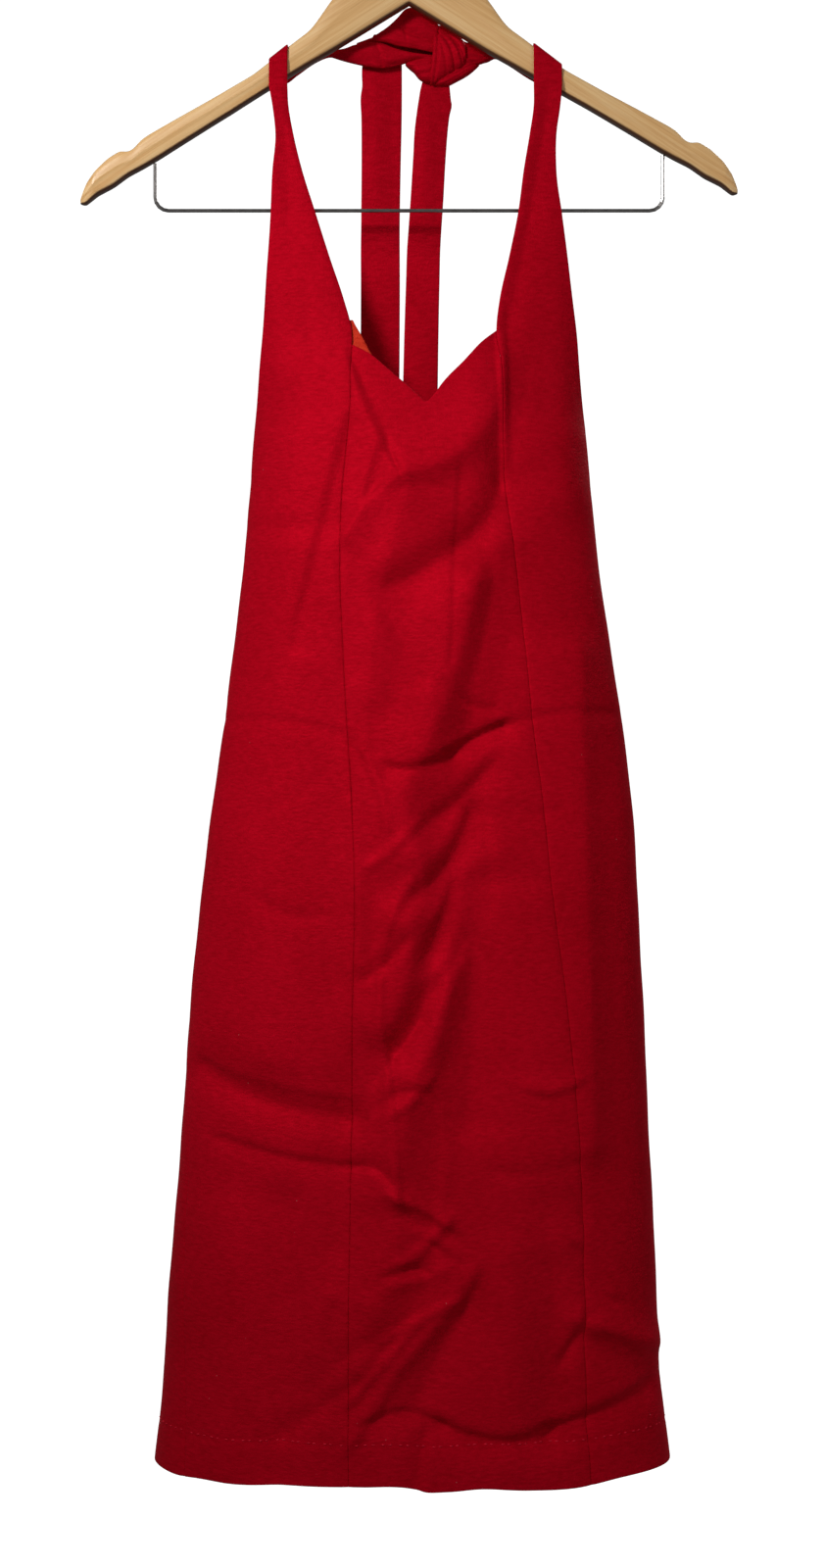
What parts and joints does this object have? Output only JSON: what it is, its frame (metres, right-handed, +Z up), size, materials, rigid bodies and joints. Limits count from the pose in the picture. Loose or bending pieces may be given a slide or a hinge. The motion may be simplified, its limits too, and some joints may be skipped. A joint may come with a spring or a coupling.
{
  "type": "sheath dress on a hanger",
  "caption": "Halter-neck sheath dress with princess seams and a low back, its straps tied behind the neck of a wooden hanger.",
  "frame": {"origin": "inner top of the hanger's hook, where the rail carries it", "axes": "+Z up, +X to the right as seen from the front, the front of the dress faces -Y"},
  "size_m": [0.4452, 0.1454, 1.0827],
  "materials": {
    "crepe": "matte pebbled red crepe with a faint sheen",
    "facing": "orange-red inner side of the facing, matte",
    "wood": "pale straight-grained wood, satin lacquer",
    "steel": "bright plated steel",
    "zip_metal": "dyed to match the cloth, satin"
  },
  "bodies": {
    "dress": {"centre_front": "crepe", "side_front_left": "crepe", "side_front_right": "crepe", "back_left": "crepe", "back_right": "crepe", "neck_facing": "facing", "neck_tie_left": "crepe", "neck_tie_right": "crepe", "neck_knot": "crepe", "tie_loop": "crepe", "tail_left": "crepe", "tail_right": "crepe", "hanger_wood": "wood", "hanger_hook": "steel", "hanger_bar": "steel", "zip_slider": "zip_metal"},
    "zip_pull": {"zip_pull": "zip_metal"}
  },
  "joints": [
    {"name": "pull_swing", "type": "hinge", "parent": "dress", "child": "zip_pull", "pos_m": [0.00777, 0.03019, -0.42], "axis": [1, 0, 0], "range_deg": [0, 150]}
  ]
}
